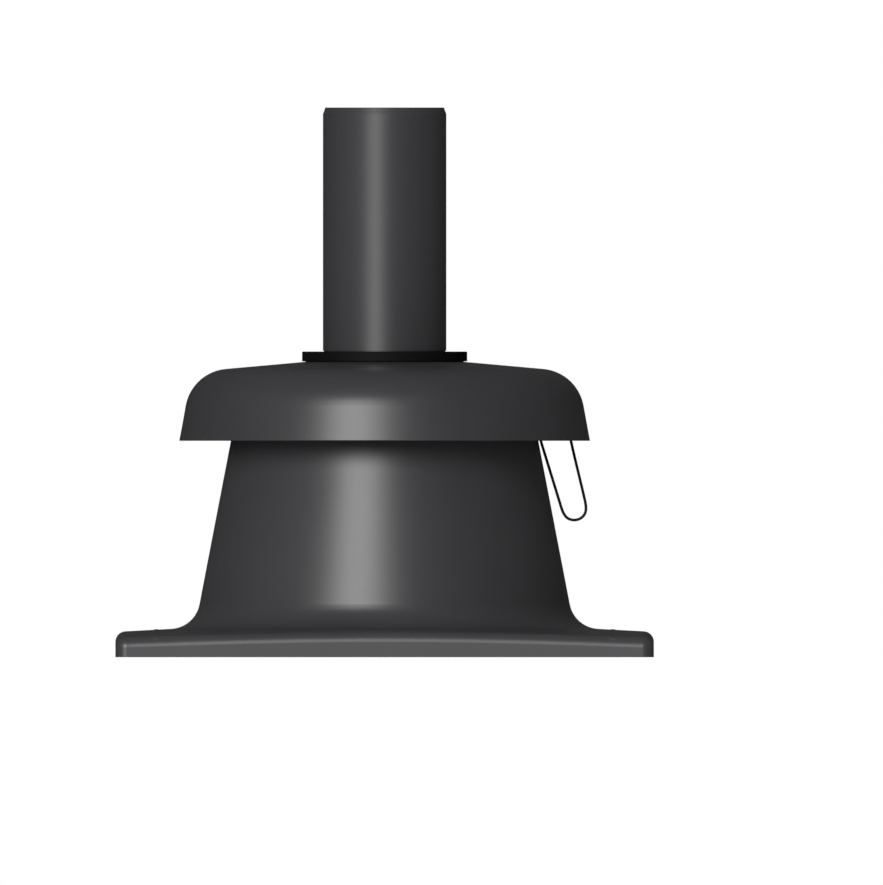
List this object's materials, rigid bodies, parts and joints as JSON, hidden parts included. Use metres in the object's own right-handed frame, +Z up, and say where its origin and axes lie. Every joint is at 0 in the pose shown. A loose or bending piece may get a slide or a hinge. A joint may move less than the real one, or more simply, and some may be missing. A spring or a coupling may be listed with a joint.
{
  "type": "chimney cap",
  "caption": "Square-flanged roof vent terminal: cone flashing, rain hood with air gap, rubber pipe collar and a straight vent pipe, with a tether for the hood.",
  "frame": {"origin": "middle of the square flange's underside, on the roof plane", "axes": "+Z up along the vent pipe, +X towards the tether, X and Y along the flange's sides"},
  "size_m": [0.48, 0.48, 0.49],
  "materials": {
    "flashing_plastic": "satin moulded dark grey",
    "hood_plastic": "satin moulded dark grey",
    "pipe_plastic": "satin moulded dark grey",
    "black_rubber": "matt black rubber",
    "seal_rubber": "orange-brown rubber",
    "white_plastic": "smooth white",
    "ring_plastic": "moulded grey",
    "tether_rubber": "smooth black"
  },
  "bodies": {
    "root": {"base_flashing": "flashing_plastic", "rain_hood": "hood_plastic", "pipe_collar_seal": "black_rubber", "vent_pipe": "pipe_plastic", "socket_seal": "seal_rubber", "snap_sleeve": "white_plastic", "sleeve_bushing": "ring_plastic", "support_ring": "ring_plastic", "tether_cord": "tether_rubber", "tether_toggle": "tether_rubber"}
  },
  "joints": []
}
